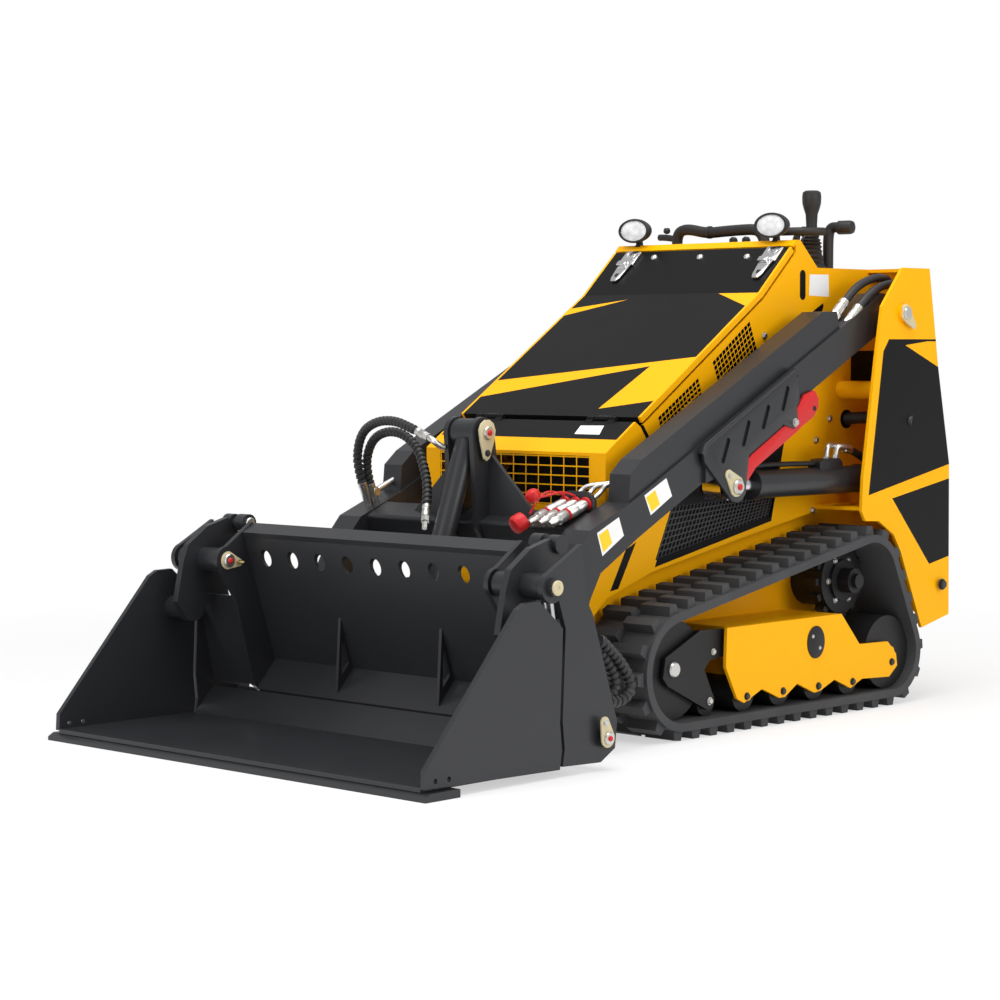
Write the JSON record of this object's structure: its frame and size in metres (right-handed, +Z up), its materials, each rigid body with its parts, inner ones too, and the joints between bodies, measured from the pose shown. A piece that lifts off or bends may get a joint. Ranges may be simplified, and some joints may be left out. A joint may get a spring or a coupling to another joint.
{
  "type": "mini track loader with four-in-one bucket",
  "caption": "Compact stand-on tracked loader with sloping hood, twin lift arms, a wide clam-type bucket, side rubber tracks and a rear control console.",
  "frame": {"origin": "on the floor under the middle of the machine, halfway between the cutting edge and the folded platform", "axes": "+X to the machine's left, -Y forwards to the bucket, +Z up"},
  "size_m": [1.15, 1.985, 1.2202],
  "materials": {
    "black_paint": "satin",
    "black_plastic": "matte",
    "charcoal_paint": "satin",
    "chrome_rod": "polished",
    "red_paint": "gloss",
    "track_rubber": "matte",
    "yellow_paint": "gloss",
    "zinc_steel": "satin"
  },
  "bodies": {
    "machine": {"chassis": "yellow_paint", "console": "black_plastic", "cowl": "yellow_paint", "engine_block": "black_paint", "front_grille": "yellow_paint", "front_panel": "yellow_paint", "idler_fork_left": "black_paint", "idler_fork_right": "black_paint", "rear_wall": "yellow_paint", "side_mesh_left": "black_paint", "side_mesh_right": "black_paint", "side_wall_left": "yellow_paint", "side_wall_right": "yellow_paint", "sprocket_left": "black_paint", "sprocket_right": "black_paint", "tower_left": "yellow_paint", "tower_right": "yellow_paint", "track_frame_left": "yellow_paint", "track_frame_right": "yellow_paint", "track_left": "track_rubber", "track_right": "track_rubber", "wheels_left": "black_paint", "wheels_right": "black_paint", "work_lamps": "black_plastic"},
    "hood": {"hood_lid": "yellow_paint"},
    "platform_step": {"platform": "black_paint"},
    "arms": {"arm_cover_left": "charcoal_paint", "arm_cover_right": "charcoal_paint", "arm_left": "charcoal_paint", "arm_lock": "red_paint", "arm_right": "charcoal_paint", "couplers": "zinc_steel", "crosshead": "charcoal_paint", "hose_cross_lower": "black_plastic", "hose_cross_upper": "black_plastic"},
    "clam": {"clam_lever_left": "charcoal_paint", "clam_lever_right": "charcoal_paint", "clam_shell": "charcoal_paint"},
    "lift_barrel_body_left": {"lift_barrel_left": "charcoal_paint"},
    "lift_rod_body_left": {"lift_rod_left": "chrome_rod"},
    "clam_barrel_body_left": {"clam_barrel_left": "charcoal_paint"},
    "clam_rod_body_left": {"clam_rod_left": "chrome_rod"},
    "lift_barrel_body_right": {"lift_barrel_right": "charcoal_paint"},
    "lift_rod_body_right": {"lift_rod_right": "chrome_rod"},
    "clam_barrel_body_right": {"clam_barrel_right": "charcoal_paint"},
    "clam_rod_body_right": {"clam_rod_right": "chrome_rod"},
    "tilt_barrel_body": {"tilt_barrel": "charcoal_paint"},
    "tilt_rod_body": {"tilt_rod": "chrome_rod"},
    "bucket": {"cheek_left": "charcoal_paint", "cheek_right": "charcoal_paint", "hitch": "charcoal_paint", "moldboard": "charcoal_paint"}
  },
  "joints": [
    {"name": "lift", "type": "hinge", "parent": "machine", "child": "arms", "pos_m": [0, 0.741, 0.919], "axis": [-1, 0, 0], "range_deg": [0, 60]},
    {"name": "bucket_tilt", "type": "hinge", "parent": "arms", "child": "bucket", "pos_m": [0, -0.374, 0.112], "axis": [1, 0, 0], "range_deg": [-20, 90]},
    {"name": "clam_open", "type": "hinge", "parent": "bucket", "child": "clam", "pos_m": [0, -0.627, 0.374], "axis": [-1, 0, 0], "range_deg": [0, 55]},
    {"name": "hood_open", "type": "hinge", "parent": "machine", "child": "hood", "pos_m": [0, -0.038, 0.682], "axis": [1, 0, 0], "range_deg": [0, 55]},
    {"name": "platform_fold", "type": "hinge", "parent": "machine", "child": "platform_step", "pos_m": [0, 0.972, 0.215], "axis": [-1, 0, 0], "range_deg": [0, 88]},
    {"name": "lift_barrel_swing_left", "type": "hinge", "parent": "machine", "child": "lift_barrel_body_left", "pos_m": [0.345, 0.691, 0.53], "axis": [-1, 0, 0], "range_deg": [0, 52]},
    {"name": "lift_rod_slide_left", "type": "slide", "parent": "lift_barrel_body_left", "child": "lift_rod_body_left", "axis": [0, -1, 0.0056], "range_m": [0, 0.38]},
    {"name": "lift_barrel_swing_right", "type": "hinge", "parent": "machine", "child": "lift_barrel_body_right", "pos_m": [-0.345, 0.691, 0.53], "axis": [-1, 0, 0], "range_deg": [0, 52]},
    {"name": "lift_rod_slide_right", "type": "slide", "parent": "lift_barrel_body_right", "child": "lift_rod_body_right", "axis": [0, -1, 0.0056], "range_m": [0, 0.38]},
    {"name": "tilt_barrel_swing", "type": "hinge", "parent": "arms", "child": "tilt_barrel_body", "pos_m": [0, -0.284, 0.655], "axis": [1, 0, 0], "range_deg": [-2, 2]},
    {"name": "tilt_rod_slide", "type": "slide", "parent": "tilt_barrel_body", "child": "tilt_rod_body", "axis": [0, -0.3367, -0.9416], "range_m": [-0.045, 0.16]},
    {"name": "clam_barrel_swing_left", "type": "hinge", "parent": "bucket", "child": "clam_barrel_body_left", "pos_m": [0.448, -0.473, 0.061], "axis": [-1, 0, 0], "range_deg": [0, 4]},
    {"name": "clam_rod_slide_left", "type": "slide", "parent": "clam_barrel_body_left", "child": "clam_rod_body_left", "axis": [0, -0.1673, 0.9859], "range_m": [-0.11, 0]},
    {"name": "clam_barrel_swing_right", "type": "hinge", "parent": "bucket", "child": "clam_barrel_body_right", "pos_m": [-0.448, -0.473, 0.061], "axis": [-1, 0, 0], "range_deg": [0, 4]},
    {"name": "clam_rod_slide_right", "type": "slide", "parent": "clam_barrel_body_right", "child": "clam_rod_body_right", "axis": [0, -0.1673, 0.9859], "range_m": [-0.11, 0]}
  ],
  "couplings": [
    {"joint": "lift_barrel_swing_left", "follows": "lift", "ratio": 0.8387},
    {"joint": "lift_rod_slide_left", "follows": "lift", "m_per_rad": 0.35715},
    {"joint": "lift_barrel_swing_right", "follows": "lift", "ratio": 0.8387},
    {"joint": "lift_rod_slide_right", "follows": "lift", "m_per_rad": 0.35715},
    {"joint": "tilt_barrel_swing", "follows": "bucket_tilt", "ratio": -0.0022},
    {"joint": "tilt_rod_slide", "follows": "bucket_tilt", "m_per_rad": 0.09826},
    {"joint": "clam_barrel_swing_left", "follows": "clam_open", "ratio": 0.0501},
    {"joint": "clam_rod_slide_left", "follows": "clam_open", "m_per_rad": -0.10911},
    {"joint": "clam_barrel_swing_right", "follows": "clam_open", "ratio": 0.0501},
    {"joint": "clam_rod_slide_right", "follows": "clam_open", "m_per_rad": -0.10911}
  ]
}
